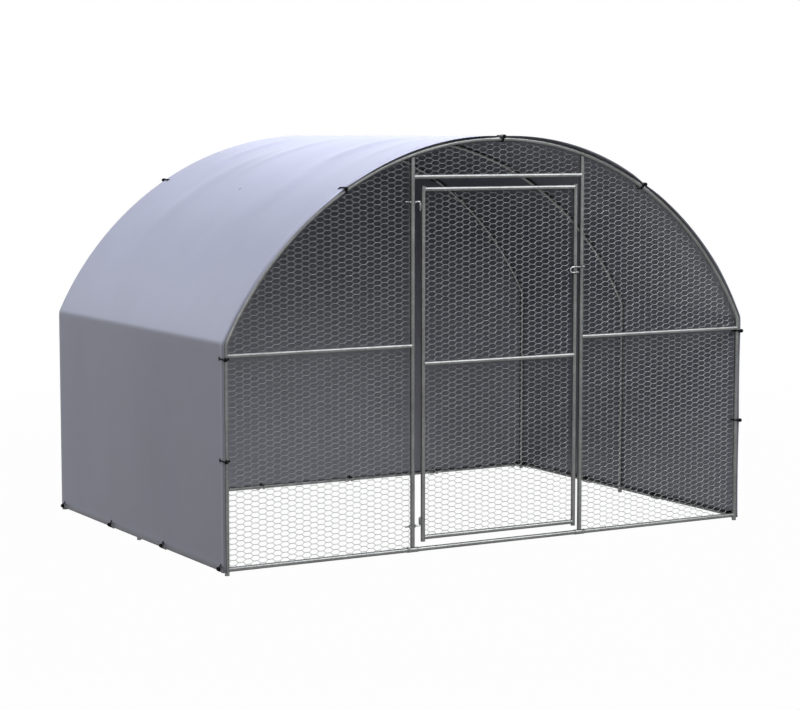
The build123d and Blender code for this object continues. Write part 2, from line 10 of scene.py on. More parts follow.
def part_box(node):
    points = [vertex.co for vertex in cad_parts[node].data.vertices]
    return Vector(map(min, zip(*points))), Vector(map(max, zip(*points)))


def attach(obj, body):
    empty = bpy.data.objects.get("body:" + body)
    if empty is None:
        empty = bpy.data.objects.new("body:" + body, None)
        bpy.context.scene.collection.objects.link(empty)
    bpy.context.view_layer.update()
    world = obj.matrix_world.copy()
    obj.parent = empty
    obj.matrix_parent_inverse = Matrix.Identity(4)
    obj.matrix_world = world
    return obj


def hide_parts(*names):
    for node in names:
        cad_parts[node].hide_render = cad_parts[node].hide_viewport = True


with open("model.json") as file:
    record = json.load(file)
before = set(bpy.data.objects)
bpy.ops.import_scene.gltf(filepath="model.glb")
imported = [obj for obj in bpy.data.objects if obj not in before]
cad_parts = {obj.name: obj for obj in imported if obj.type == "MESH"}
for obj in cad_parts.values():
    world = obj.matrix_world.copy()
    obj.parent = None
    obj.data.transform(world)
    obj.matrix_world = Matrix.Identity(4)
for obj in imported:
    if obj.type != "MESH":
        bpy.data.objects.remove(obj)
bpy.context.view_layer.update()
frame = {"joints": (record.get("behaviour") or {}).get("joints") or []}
scene = bpy.context.scene
scene.view_settings.view_transform = "Standard"

# Camera: stands to the left of the entry, a little above the ridge's height, with a long lens.
# Its place, turn and lens were fitted to the lines of the tubes in the photograph.
picture_width = 800
focal_pixels = 2190.07
camera_yaw = 0.51899
camera_pitch = -0.10165
lens = bpy.data.cameras.new("camera")
lens.sensor_width = 36.0
lens.lens = focal_pixels * lens.sensor_width / picture_width
camera = bpy.data.objects.new("camera", lens)
camera.location = (-5.70296, -10.0446, 2.03414)
camera.rotation_euler = (pi / 2 + camera_pitch, 0, -camera_yaw)
scene.collection.objects.link(camera)
scene.camera = camera

# Studio: a white paper floor that runs out to a white background and keeps a faint shadow of the run.
# Five wide soft lamps stand over the roof, before the entry at the right, behind at the left, behind
# the ridge and at the front.
up = Vector((0, 0, 1))
room_light = 0.075
floor_tone = (0.075, 0.075, 0.08, 1)


def add_node(tree, kind, operation=None, **inputs):
    """A node of the given kind, with plain values set on its sockets."""
    made = tree.nodes.new(kind)
    if operation:
        made.operation = operation
    for socket, value in inputs.items():
        made.inputs[socket.replace("_", " ")].default_value = value
    return made


def seen_directly(tree):
    """1 for rays from the camera, from gloss or through glass, and 0 for rays that only light."""
    path = tree.nodes.new("ShaderNodeLightPath")
    mask = path.outputs["Is Camera Ray"]
    for other in ("Is Glossy Ray", "Is Transmission Ray"):
        most = add_node(tree, "ShaderNodeMath", "MAXIMUM")
        tree.links.new(mask, most.inputs[0])
        tree.links.new(path.outputs[other], most.inputs[1])
        mask = most.outputs[0]
    return mask


world = bpy.data.worlds.new("studio")
scene.world = world
world.use_nodes = True
sky = world.node_tree
sky.nodes.clear()
room = add_node(sky, "ShaderNodeBackground", Color=(1, 1, 1, 1), Strength=room_light)
white = add_node(sky, "ShaderNodeBackground", Color=(1, 1, 1, 1), Strength=1.0)
choice = sky.nodes.new("ShaderNodeMixShader")
sky_out = sky.nodes.new("ShaderNodeOutputWorld")
sky.links.new(seen_directly(sky), choice.inputs["Fac"])
sky.links.new(room.outputs[0], choice.inputs[1])
sky.links.new(white.outputs[0], choice.inputs[2])
sky.links.new(choice.outputs[0], sky_out.inputs["Surface"])

floor_size = 60.0
paper_near, paper_far = 0.985, 1.0
shadow_reach, shadow_fade = 3.5, 8.0
sheet = bmesh.new()
bmesh.ops.create_grid(sheet, x_segments=1, y_segments=1, size=floor_size / 2)
floor_mesh = bpy.data.meshes.new("floor")
sheet.to_mesh(floor_mesh)
sheet.free()
floor = bpy.data.objects.new("floor", floor_mesh)
scene.collection.objects.link(floor)
paper = bpy.data.materials.new("floor_paper")
paper.use_nodes = True
tree = paper.node_tree
tree.nodes.clear()
matt = add_node(tree, "ShaderNodeBsdfDiffuse", Color=floor_tone)
bright = add_node(tree, "ShaderNodeEmission", Color=(1, 1, 1, 1), Strength=1.0)
share = add_node(tree, "ShaderNodeMath", "MULTIPLY")
spot = tree.nodes.new("ShaderNodeTexCoord")
away = add_node(tree, "ShaderNodeVectorMath", "LENGTH")
fade = add_node(tree, "ShaderNodeMapRange", From_Min=shadow_reach, From_Max=shadow_fade)
fade.inputs["To Min"].default_value = paper_near
fade.inputs["To Max"].default_value = paper_far
tree.links.new(spot.outputs["Object"], away.inputs[0])
tree.links.new(away.outputs["Value"], fade.inputs["Value"])
tree.links.new(fade.outputs["Result"], share.inputs[1])
choice = tree.nodes.new("ShaderNodeMixShader")
out = tree.nodes.new("ShaderNodeOutputMaterial")
tree.links.new(seen_directly(tree), share.inputs[0])
tree.links.new(share.outputs[0], choice.inputs["Fac"])
tree.links.new(matt.outputs[0], choice.inputs[1])
tree.links.new(bright.outputs[0], choice.inputs[2])
tree.links.new(choice.outputs[0], out.inputs["Surface"])
floor_mesh.materials.append(paper)

for name, place, aim, size, watts, tint in (
    ("overhead_lamp", (-0.3, -0.2, 6.2), (0, 0, 1.0), (4.2, 4.2), 350.0, (0.72, 0.775, 1.0)),
    ("entry_lamp", (3.9, -5.1, 5.7), (3.9, -0.4, 2.2), (4.4, 5.6), 580.0, (0.95, 0.97, 1.0)),
    ("rear_lamp", (-5.7, 6.1, 4.4), (-1.0, 0, 1.0), (5.0, 4.0), 215.0, (0.76, 0.82, 1.0)),
    ("ridge_lamp", (3.4, 7.2, 3.9), (0, 0, 2.0), (3.2, 2.6), 28.0, (0.84, 0.89, 1.0)),
    ("front_lamp", (-3.6, -8.6, 5.4), (0.4, 0, 0.5), (5.0, 3.0), 265.0, (1, 1, 1)),
):
    lamp = bpy.data.lights.new(name, "AREA")
    lamp.shape = "RECTANGLE"
    lamp.size, lamp.size_y = size
    lamp.energy = watts
    lamp.color = tint
    lamp_object = bpy.data.objects.new(name, lamp)
    lamp_object.location = place
    lamp_object.rotation_euler = (Vector(aim) - Vector(place)).to_track_quat("-Z", "Y").to_euler()
    scene.collection.objects.link(lamp_object)

# Legs: six uprights of round galvanised steel tube, 22 mm with a 1 mm wall, cut square at the foot.
# An arch slips into the open upper end of each.
tube_radius = 0.011
tube_wall = 0.001
bore_radius = tube_radius - tube_wall
tube_segments = 20
crisp_angle = radians(34)
zinc_pale = (0.235, 0.238, 0.235, 1)
zinc_dull = (0.130, 0.132, 0.130, 1)
edge_tint = (0.1, 0.1, 0.1, 1)
flake_share = 0.45
cloud_share = 0.55
cloud_gloss = 0.14
hoop_y = {}
for row in ("front", "middle", "back"):
    low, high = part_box(f"{row}_left_arch")
    hoop_y[row] = (low.y + high.y) / 2
leg_low, leg_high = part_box("front_left_leg")
leg_x = -leg_low.x - tube_radius
leg_top = leg_high.z


def zinc_group():
    """Zinc skin: flaky crystals, cloudy dull patches and fine pits."""
    group = bpy.data.node_groups.new("zinc_skin", "ShaderNodeTree")
    face = group.interface
    for name in ("Pale", "Dull"):
        face.new_socket(name, in_out="INPUT", socket_type="NodeSocketColor")
    face.new_socket("Rough", in_out="INPUT", socket_type="NodeSocketFloat")
    face.new_socket("Color", in_out="OUTPUT", socket_type="NodeSocketColor")
    face.new_socket("Roughness", in_out="OUTPUT", socket_type="NodeSocketFloat")
    face.new_socket("Height", in_out="OUTPUT", socket_type="NodeSocketFloat")
    link = group.links.new
    taken = group.nodes.new("NodeGroupInput")
    given = group.nodes.new("NodeGroupOutput")
    spot = group.nodes.new("ShaderNodeTexCoord")
    flakes = add_node(group, "ShaderNodeTexVoronoi", Scale=110.0)
    tone = group.nodes.new("ShaderNodeSeparateColor")
    clouds = add_node(group, "ShaderNodeTexNoise", Scale=7.0, Detail=5.0, Roughness=0.6)
    pits = add_node(group, "ShaderNodeTexNoise", Scale=420.0, Detail=2.0)
    for texture in (flakes, clouds, pits):
        link(spot.outputs["Object"], texture.inputs["Vector"])
    link(flakes.outputs["Color"], tone.inputs["Color"])
    blend = add_node(group, "ShaderNodeMath", "MULTIPLY_ADD")
    blend.inputs[1].default_value = flake_share
    link(tone.outputs["Red"], blend.inputs[0])
    cloud_part = add_node(group, "ShaderNodeMapRange", From_Min=0.3, From_Max=0.7, To_Max=cloud_share)
    link(clouds.outputs["Fac"], cloud_part.inputs["Value"])
    link(cloud_part.outputs["Result"], blend.inputs[2])
    shade = group.nodes.new("ShaderNodeMix")
    shade.data_type = "RGBA"
    link(blend.outputs[0], shade.inputs["Factor"])
    link(taken.outputs["Dull"], shade.inputs["A"])
    link(taken.outputs["Pale"], shade.inputs["B"])
    link(shade.outputs["Result"], given.inputs["Color"])
    gloss = add_node(group, "ShaderNodeMath", "MULTIPLY_ADD")
    gloss.inputs[1].default_value = cloud_gloss
    link(clouds.outputs["Fac"], gloss.inputs[0])
    link(taken.outputs["Rough"], gloss.inputs[2])
    link(gloss.outputs[0], given.inputs["Roughness"])
    link(pits.outputs["Fac"], given.inputs["Height"])
    return group


zinc_skin = zinc_group()


def zinc_finish(name, pale, dull, rough, metal):
    """A finish of bare or dipped zinc, from its two tones and its roughness."""
    made = bpy.data.materials.new(name)
    made.use_nodes = True
    nodes = made.node_tree
    shader = nodes.nodes["Principled BSDF"]
    shader.inputs["Metallic"].default_value = metal
    shader.inputs["Specular Tint"].default_value = edge_tint
    skin = nodes.nodes.new("ShaderNodeGroup")
    skin.node_tree = zinc_skin
    for socket, value in (("Pale", pale), ("Dull", dull), ("Rough", rough)):
        skin.inputs[socket].default_value = value
    relief = add_node(nodes, "ShaderNodeBump", Strength=0.25, Distance=0.0004)
    nodes.links.new(skin.outputs["Color"], shader.inputs["Base Color"])
    nodes.links.new(skin.outputs["Roughness"], shader.inputs["Roughness"])
    nodes.links.new(skin.outputs["Height"], relief.inputs["Height"])
    nodes.links.new(relief.outputs["Normal"], shader.inputs["Normal"])
    return made


galvanised = zinc_finish("galvanised_tube", zinc_pale, zinc_dull, 0.24, 0.72)


def verts_of(edges):
    """The vertices of some edges, each once and in their order."""
    return list(dict.fromkeys(vert for edge in edges for vert in edge.verts))


def edges_of(verts):
    """The edges at some vertices, each once and in their order."""
    return list(dict.fromkeys(edge for vert in verts for edge in vert.link_edges))


def tube_end(mesh, place, *radii):
    """The loops of a tube's cut end, one for each radius."""
    loops = []
    for radius in radii:
        ring = bmesh.ops.create_circle(mesh, segments=tube_segments, radius=radius, matrix=place)
        loops += edges_of(ring["verts"])
    return loops


def draw_out(mesh, edges, run=(0, 0, 0), steps=1, centre=(0, 0, 0), axis=(0, 1, 0), angle=0.0):
    """Draws loops on by a straight run, or round a bend, and gives the loops at the far end."""
    drawn = bmesh.ops.spin(
        mesh,
        geom=verts_of(edges) + edges,
        cent=centre,
        axis=axis,
        dvec=Vector(run) / steps,
        angle=angle,
        steps=steps,
    )
    return [item for item in drawn["geom_last"] if isinstance(item, bmesh.types.BMEdge)]


def facing(start, end):
    """A placing at start whose Z axis points to end."""
    turn = (Vector(end) - Vector(start)).to_track_quat("Z", "Y").to_matrix().to_4x4()
    return Matrix.Translation(start) @ turn


def cut_tube(mesh, start, end, outer=tube_radius, bore=bore_radius):
    """A straight length of tube, cut square at both ends."""
    near = tube_end(mesh, facing(start, end), outer, bore)
    bmesh.ops.bridge_loops(mesh, edges=near)
    far = draw_out(mesh, near, Vector(end) - Vector(start))
    bmesh.ops.bridge_loops(mesh, edges=far)


def make_piece(mesh, name, body, slot, finish, *nodes):
    """Makes a worked mesh a piece of the run, with hard edges where its faces break sharply."""
    bmesh.ops.recalc_face_normals(mesh, faces=mesh.faces)
    for face in mesh.faces:
        face.smooth = True
    for edge in mesh.edges:
        edge.smooth = len(edge.link_faces) == 2 and edge.calc_face_angle() < crisp_angle
    data = bpy.data.meshes.new(name)
    mesh.to_mesh(data)
    mesh.free()
    data.materials.append(finish)
    piece = bpy.data.objects.new(name, data)
    scene.collection.objects.link(piece)
    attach(piece, body)
    if nodes:
        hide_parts(*nodes)
    return piece


def make_tube(mesh, name, node, body="frame"):
    """Makes a worked mesh a piece of galvanised tube in place of one node."""
    make_piece(mesh, name, body, "galvanised_tube", galvanised, node)


for row, y in hoop_y.items():
    for side, word in ((-1, "left"), (1, "right")):
        leg = bmesh.new()
        cut_tube(leg, (side * leg_x, y, 0), (side * leg_x, y, leg_top))
        make_tube(leg, f"{word}_leg_{row}", f"{row}_{word}_leg")

# Roof arches: two bent tubes over each pair of legs. The foot of each is drawn in to a spigot that
# slips into the leg, bent at the shoulder and then rolled to the long curve of the roof.
shoulder_height = 1.070
ridge_height = 2.000
shoulder_bend = 0.055
spigot_radius = 0.0099
neck_length = 0.004
bend_steps, roll_steps = 6, 30
collar_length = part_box("front_right_arch")[0].x * 2
rise = ridge_height - shoulder_height
arch_radius = (leg_x**2 + rise**2) / (2 * rise)
arch_centre = ridge_height - arch_radius
bend_x = leg_x - shoulder_bend
bend_z = arch_centre + sqrt((arch_radius - shoulder_bend) ** 2 - bend_x**2)
roof_angle = atan2(bend_x, bend_z - arch_centre)
collar_angle = asin(collar_length / 2 / arch_radius)
spigot_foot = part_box("front_right_arch")[0].z
for row, y in hoop_y.items():
    for side, word in ((-1, "left"), (1, "right")):
        arch = bmesh.new()
        foot = Vector((side * leg_x, y, spigot_foot))
        loops = tube_end(arch, Matrix.Translation(foot), spigot_radius, spigot_radius - tube_wall)
        bmesh.ops.bridge_loops(arch, edges=loops)
        loops = draw_out(arch, loops, (0, 0, leg_top - neck_length - spigot_foot))
        loops = draw_out(arch, loops, (0, 0, neck_length))
        swell = tube_radius / spigot_radius
        bmesh.ops.scale(
            arch,
            verts=verts_of(loops),
            vec=(swell, swell, 1),
            space=Matrix.Translation((-side * leg_x, -y, 0)),
        )
        loops = draw_out(arch, loops, (0, 0, bend_z - leg_top))
        bend_centre = (side * bend_x, y, bend_z)
        bent = side * (roof_angle - pi / 2)
        loops = draw_out(arch, loops, steps=bend_steps, centre=bend_centre, angle=bent)
        rolled = side * (collar_angle - roof_angle)
        loops = draw_out(arch, loops, steps=roll_steps, centre=(0, y, arch_centre), angle=rolled)
        bmesh.ops.bridge_loops(arch, edges=loops)
        make_tube(arch, f"{word}_arch_{row}", f"{row}_{word}_arch")

# Ridge: a short connector joins the two halves of each arch, and two poles keep the hoops apart.
# All are the same tube, and the poles stand against the connectors.
for row, y in hoop_y.items():
    connector = bmesh.new()
    cut_tube(connector, (-collar_length / 2, y, ridge_height), (collar_length / 2, y, ridge_height))
    make_tube(connector, f"ridge_collar_{row}", f"{row}_ridge_connector")
for word in ("front", "back"):
    low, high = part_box(f"{word}_ridge_pole")
    pole = bmesh.new()
    cut_tube(pole, (0, low.y, ridge_height), (0, high.y, ridge_height))
    make_tube(pole, f"ridge_pole_{word}", f"{word}_ridge_pole")

# Base rails, mid rails and header: straight tubes that slip over lugs on the legs and posts.
# Those near the ground run along both sides, across the back and across the front. Where a rail
# meets an upright, its end follows the round of that tube.
horn = 0.005
end_slack = 0.0001


def saddle(mesh, axis, end, heading, middle):
    """Shapes the flat end of a rail to the round upright that it meets."""
    for vert in mesh.verts:
        if abs(vert.co[axis] - end) < end_slack:
            across = vert.co[1 - axis] - middle[1 - axis]
            fall = max(sqrt(max(tube_radius**2 - across**2, 0)), horn)
            vert.co[axis] += heading * (tube_radius - fall)


for word in ("left", "right"):
    for row in ("front", "back"):
        low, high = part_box(f"{word}_side_rail_{row}")
        middle = (low + high) / 2
        rail = bmesh.new()
        cut_tube(rail, (middle.x, low.y, middle.z), (middle.x, high.y, middle.z))
        saddle(rail, 1, low.y, -1, middle)
        saddle(rail, 1, high.y, 1, middle)
        make_tube(rail, f"side_rail_{word}_{row}", f"{word}_side_rail_{row}")
saddled_ends = {
    "rear_rail_left": (-1,),
    "rear_rail_right": (1,),
    "front_rail_left": (-1,),
    "door_sill": (),
    "front_rail_right": (1,),
    "left_mid_rail": (-1, 1),
    "right_mid_rail": (-1, 1),
    "door_header": (-1, 1),
}
for node, headings in saddled_ends.items():
    low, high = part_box(node)
    middle = (low + high) / 2
    # the node of the left rear rail also holds the spigot inside its neighbour
    ends = {-1: low.x, 1: 0.0 if node == "rear_rail_left" else high.x}
    rail = bmesh.new()
    cut_tube(rail, (ends[-1], middle.y, middle.z), (ends[1], middle.y, middle.z))
    for heading in headings:
        saddle(rail, 0, ends[heading], heading, middle)
    make_tube(rail, f"{node}_tube", node)

# Post tees and door posts: a rolled sleeve round the joint of two base rails carries each post.
# The head of the post is cut along the slope of the arch above it.
front_y = hoop_y["front"]
post_x = (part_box("right_post_tee")[0].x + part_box("right_post_tee")[1].x) / 2
base_height = (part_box("door_sill")[0].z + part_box("door_sill")[1].z) / 2
sleeve_radius = 0.0126
sleeve_slip = 0.0001
tee_rim = 0.0004
post_gap = 0.0012


def ease(mesh, offset, sharp=crisp_angle):
    """Rounds off the sharp edges of a mesh a little."""
    rims = [edge for edge in mesh.edges if edge.calc_face_angle(0) > sharp]
    bmesh.ops.bevel(mesh, geom=rims, offset=offset, affect="EDGES", segments=2, profile=0.5, material=-1)


for word, side, post in (("left", -1, "hinge_post"), ("right", 1, "latch_post")):
    low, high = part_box(f"{word}_post_tee")
    tee = bmesh.new()
    start, end = (low.x, front_y, base_height), (high.x, front_y, base_height)
    cut_tube(tee, start, end, sleeve_radius, tube_radius + sleeve_slip)
    ease(tee, tee_rim)
    make_tube(tee, f"post_tee_{word}", f"{word}_post_tee")
    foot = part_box(post)[0].z
    reach = arch_radius - tube_radius - post_gap
    head = arch_centre + sqrt(reach**2 - post_x**2)
    slope = -side * post_x / (head - arch_centre)
    upright = bmesh.new()
    loops = tube_end(upright, Matrix.Translation((side * post_x, front_y, foot)), tube_radius, bore_radius)
    bmesh.ops.bridge_loops(upright, edges=loops)
    loops = draw_out(upright, loops, (0, 0, head - foot))
    for vert in verts_of(loops):
        vert.co.z += slope * (vert.co.x - side * post_x)
    bmesh.ops.bridge_loops(upright, edges=loops)
    make_tube(upright, f"{post}_tube", post)

# Netting of the front: woven galvanised wire. Two wires twist round each other along the level sides
# of every six-sided gap, and part again to the neighbours above and below.
wire_radius = 0.0016
twist_radius = 0.00065
gap_width = 0.0382
gap_height = 0.0254
twist_length = 0.025
twist_turns = 1.5
twist_steps = 5
wire_sides = 4
arch_cuts = 14
net_gap = 0.0003
net_overlap = 0.0005
left_shift, right_shift, even_shift = 0.0377, 0.0035, gap_width / 2
netting = zinc_finish("wire_netting", (0.52, 0.53, 0.52, 1), (0.37, 0.38, 0.37, 1), 0.34, 0.35)


def weave(y, left, right, low, high, shift):
    """A rectangle of netting, with whole gaps that reach a little beyond it."""
    mesh = bmesh.new()
    for level in (1, -1):
        start = Matrix.Translation((-twist_length / 2, 0, level * twist_radius))
        start @= Matrix.Rotation(pi / 2, 4, "Y")
        ring = bmesh.ops.create_circle(mesh, segments=wire_sides, radius=wire_radius, matrix=start)
        loop = edges_of(ring["verts"])
        turned = 2 * pi * twist_turns
        loop = draw_out(mesh, loop, (twist_length, 0, 0), twist_steps, axis=(1, 0, 0), angle=turned)
        parting = gap_height / 2 - 2 * twist_radius
        draw_out(mesh, loop, (gap_width - twist_length, 0, -level * parting))
    whole = mesh.verts[:] + mesh.edges[:] + mesh.faces[:]
    copy = bmesh.ops.duplicate(mesh, geom=whole)["geom"]
    moved = [item for item in copy if isinstance(item, bmesh.types.BMVert)]
    bmesh.ops.translate(mesh, verts=moved, vec=(gap_width, 0, gap_height / 2))
    columns = int((right - left) / gap_width / 2) + 2
    rows = int((high - low) / gap_height) + 3
    for count, step in ((columns, (2 * gap_width, 0, 0)), (rows, (0, 0, gap_height))):
        bmesh.ops.spin(
            mesh,
            geom=mesh.verts[:] + mesh.edges[:] + mesh.faces[:],
            dvec=step,
            axis=(0, 0, 1),
            steps=count - 1,
            use_duplicate=True,
        )
    corner = (left - gap_width + shift, y, low - gap_height)
    bmesh.ops.translate(mesh, verts=mesh.verts, vec=corner)
    bmesh.ops.remove_doubles(mesh, verts=mesh.verts, dist=wire_radius / 20)
    return mesh


def trim(mesh, point, outward):
    """Cuts netting off along a straight line."""
    bmesh.ops.bisect_plane(
        mesh,
        geom=mesh.verts[:] + mesh.edges[:] + mesh.faces[:],
        plane_co=point,
        plane_no=outward,
        clear_outer=True,
    )


def make_net(name, body, node, y, left, right, low, high, shift=even_shift, arched=False):
    """One sheet of netting, cut to its bay and, under the roof, to the curve of the arch."""
    mesh = weave(y, left, right, low, high, shift)
    trim(mesh, (left, y, low), (-1, 0, 0))
    trim(mesh, (right, y, low), (1, 0, 0))
    trim(mesh, (left, y, low), (0, 0, -1))
    trim(mesh, (left, y, high), (0, 0, 1))
    if arched:
        first, last = asin(left / arch_radius), asin(right / arch_radius)
        for i in range(arch_cuts + 1):
            angle = first + (last - first) * i / arch_cuts
            outward = Vector((sin(angle), 0, cos(angle)))
            trim(mesh, Vector((0, y, arch_centre)) + outward * arch_radius, outward)
    bmesh.ops.holes_fill(mesh, edges=[edge for edge in mesh.edges if edge.is_boundary], sides=0)
    make_piece(mesh, name, body, "wire_netting", netting, node)


net_half = wire_radius + twist_radius
net_y = front_y + tube_radius + net_gap + net_half
header_low, header_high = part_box("door_header")
header_height = (header_low.z + header_high.z) / 2
bays = (
    ("left", "left", -leg_x, -post_x - net_overlap, base_height, left_shift),
    ("right", "right", post_x + net_overlap, leg_x, base_height, right_shift),
    ("over_door", "top", net_overlap - post_x, post_x - net_overlap, header_height, even_shift),
)
for place, word, left, right, foot, shift in bays:
    name, node = f"netting_{place}", f"front_net_{word}"
    make_net(name, "frame", node, net_y, left, right, foot, ridge_height, shift, arched=True)

# Hinge hooks: bright zinc rod of 8 mm, bent square. The upper pin points down and the lower one up,
# so the door can't be lifted off. The tail goes through the post and is threaded for two nuts.
hook_radius = 0.004
hook_bend = 0.006
rod_segments = 14
rod_bend_steps = 8
tip_round = 0.18
thread_pitch = 0.00125
thread_steps = 12
thread_margin = 0.05
thread_spare = 0.003
core_radius = 0.0034
thread_foot = core_radius * 0.97
zinc_plate = zinc_finish("zinc_hardware", (0.44, 0.45, 0.44, 1), (0.28, 0.29, 0.28, 1), 0.16, 1.0)
nut_height = 0.0065
nut_flats = 0.013
nut_clearance = 0.00005
thread_end = -post_x + tube_radius + nut_height + thread_spare
nut_levels = []


def bend_rod(mesh, start, radius, steps):
    """A round rod along a list of runs and bends, closed with a slightly rounded tip at both ends."""
    first_run = Vector(steps[0][1])
    place = facing(start, Vector(start) + first_run)
    ring = bmesh.ops.create_circle(mesh, cap_ends=True, segments=rod_segments, radius=radius, matrix=place)
    loop = edges_of(ring["verts"])
    for kind, value in steps:
        if kind == "run":
            loop = draw_out(mesh, loop, value)
        else:
            centre, axis, angle = value
            loop = draw_out(mesh, loop, steps=rod_bend_steps, centre=centre, axis=axis, angle=angle)
    bmesh.ops.contextual_create(mesh, geom=loop)
    ease(mesh, radius * tip_round)


for word, pin in (("upper", -1), ("lower", 1)):
    low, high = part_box(f"{word}_hinge_hook")
    level = high.z - hook_radius if pin < 0 else low.z + hook_radius
    nut_levels.append(level)
    pin_x = high.x - hook_radius
    tip = low.z if pin < 0 else high.z
    hook = bmesh.new()
    bend_rod(
        hook,
        (thread_end, front_y, level),
        hook_radius,
        (
            ("run", (pin_x - hook_bend - thread_end, 0, 0)),
            ("bend", ((pin_x - hook_bend, front_y, level + pin * hook_bend), (0, 1, 0), -pin * pi / 2)),
            ("run", (0, 0, tip - level - pin * hook_bend)),
        ),
    )
    thread_length = thread_end - low.x
    core_place = Matrix.Translation((low.x + thread_length / 2, front_y, level))
    core_place @= Matrix.Rotation(pi / 2, 4, "Y")
    bmesh.ops.create_cone(
        hook,
        cap_ends=True,
        segments=rod_segments,
        radius1=core_radius,
        radius2=core_radius,
        depth=thread_length,
        matrix=core_place,
    )
    section = ((thread_margin, thread_foot), (0.5, hook_radius), (1 - thread_margin, thread_foot))
    crest = [
        hook.verts.new((low.x + part * thread_pitch, front_y, level + radius)) for part, radius in section
    ]
    ridge = [hook.edges.new(pair) for pair in zip(crest, crest[1:] + crest[:1])]
    hook.faces.new(crest)
    turns = int(thread_length / thread_pitch) - 1
    run_out = (turns * thread_pitch, 0, 0)
    thread_axis = (0, front_y, level)
    ridge = draw_out(hook, ridge, run_out, thread_steps * turns, thread_axis, (1, 0, 0), 2 * pi * turns)
    bmesh.ops.contextual_create(hook, geom=ridge)
    make_piece(hook, f"hinge_hook_{word}", "frame", "zinc_hardware", zinc_plate, f"{word}_hinge_hook")

# Hinge nuts: plain zinc six-sided nuts, one on each side of the post on both hooks.
# Their corners are rounded off as turned nuts are.
nut_segments = 24
nut_slip = 0.0001
nut_rim = 0.0005
nut_crisp = radians(70)
nuts = bmesh.new()
for level in nut_levels:
    for side in (-1, 1):
        inner = -post_x + side * (tube_radius + nut_clearance)
        start = Vector((inner, front_y, level))
        place = facing(start, start + Vector((side, 0, 0)))
        loops = []
        for radius in (nut_flats / 2, hook_radius + nut_slip):
            ring = bmesh.ops.create_circle(nuts, segments=nut_segments, radius=radius, matrix=place)
            loops += edges_of(ring["verts"])
            if radius == nut_flats / 2:
                for vert in ring["verts"]:
                    arm = vert.co - start
                    corner = (atan2(arm.z, arm.y) + pi / 6) % (pi / 3) - pi / 6
                    vert.co = start + arm / cos(corner)
        bmesh.ops.bridge_loops(nuts, edges=loops)
        far = draw_out(nuts, loops, (side * nut_height, 0, 0))
        bmesh.ops.bridge_loops(nuts, edges=far)
ease(nuts, nut_rim, nut_crisp)
make_piece(nuts, "hinge_hook_nuts", "frame", "zinc_hardware", zinc_plate, "hinge_nuts")

# Door: two stiles and three rails of the same tube, saddled and welded.
# The weld beads run round each joint and were dipped with the frame.
bead_radius = 0.0019
bead_step = 0.0028


def weld(mesh, points, size=bead_radius):
    """A bead of weld: overlapping drops along a line of points."""
    for point in points:
        bmesh.ops.create_icosphere(mesh, subdivisions=1, radius=size, matrix=Matrix.Translation(point))


stile_x = {}
for node in ("hinge_stile", "latch_stile"):
    low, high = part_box(node)
    stile_x[node] = (low.x + high.x) / 2
    stile = bmesh.new()
    cut_tube(stile, (stile_x[node], front_y, low.z), (stile_x[node], front_y, high.z))
    make_tube(stile, f"{node}_tube", node, "door")
bead_count = int(2 * pi * tube_radius / bead_step)
for node in ("door_bottom_rail", "door_middle_rail", "door_top_rail"):
    low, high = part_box(node)
    level = (low.z + high.z) / 2
    rail = bmesh.new()
    loops = tube_end(rail, facing((0, front_y, level), (1, front_y, level)), tube_radius, bore_radius)
    for end, heading in ((stile_x["hinge_stile"], 1), (stile_x["latch_stile"], -1)):
        cope = draw_out(rail, loops, (end, 0, 0))
        for vert in verts_of(cope):
            across = vert.co.y - front_y
            vert.co.x = end + heading * max(sqrt(max(tube_radius**2 - across**2, 0)), horn)
        bmesh.ops.bridge_loops(rail, edges=cope)
        ring = []
        for i in range(bead_count):
            turn = 2 * pi * i / bead_count
            across, above = tube_radius * cos(turn), tube_radius * sin(turn)
            reach = max(abs(above), horn)
            ring.append((end + heading * reach, front_y + across, level + above))
        weld(rail, ring)
    make_tube(rail, f"{node}_tube", node, "door")

# Hinge sleeves: short thick tubes saddled on the hinge stile, with a bead of weld down both sides.
# The hooks' pins turn in them.
sleeve_bore = 0.0043
sleeve_rim = 0.0005
bead_out, bead_side = 0.86, 0.52
for word in ("upper", "lower"):
    low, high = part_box(f"{word}_hinge_sleeve")
    pin_x = frame["joints"][0]["pos_m"][0]
    outer = (high.y - low.y) / 2
    sleeve = bmesh.new()
    cut_tube(sleeve, (pin_x, front_y, low.z), (pin_x, front_y, high.z), outer, sleeve_bore)
    ease(sleeve, sleeve_rim)
    drops = int((high.z - low.z) / bead_step)
    for side in (-1, 1):
        line_x, line_y = pin_x + outer * bead_out, front_y + side * outer * bead_side
        weld(sleeve, [(line_x, line_y, low.z + (i + 0.5) * bead_step) for i in range(drops)])
    make_tube(sleeve, f"hinge_sleeve_{word}", f"{word}_hinge_sleeve", "door")

# Netting of the door: the same woven galvanised wire, cut to the door frame.
# It lies behind the stiles and the rails, and swings with them.
door_net_gap = 0.0001
low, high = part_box("door_net")
door_net_y = front_y + tube_radius + door_net_gap + net_half
left, right = stile_x["hinge_stile"], stile_x["latch_stile"]
make_net("netting_door", "door", "door_net", door_net_y, left, right, low.z, high.z)

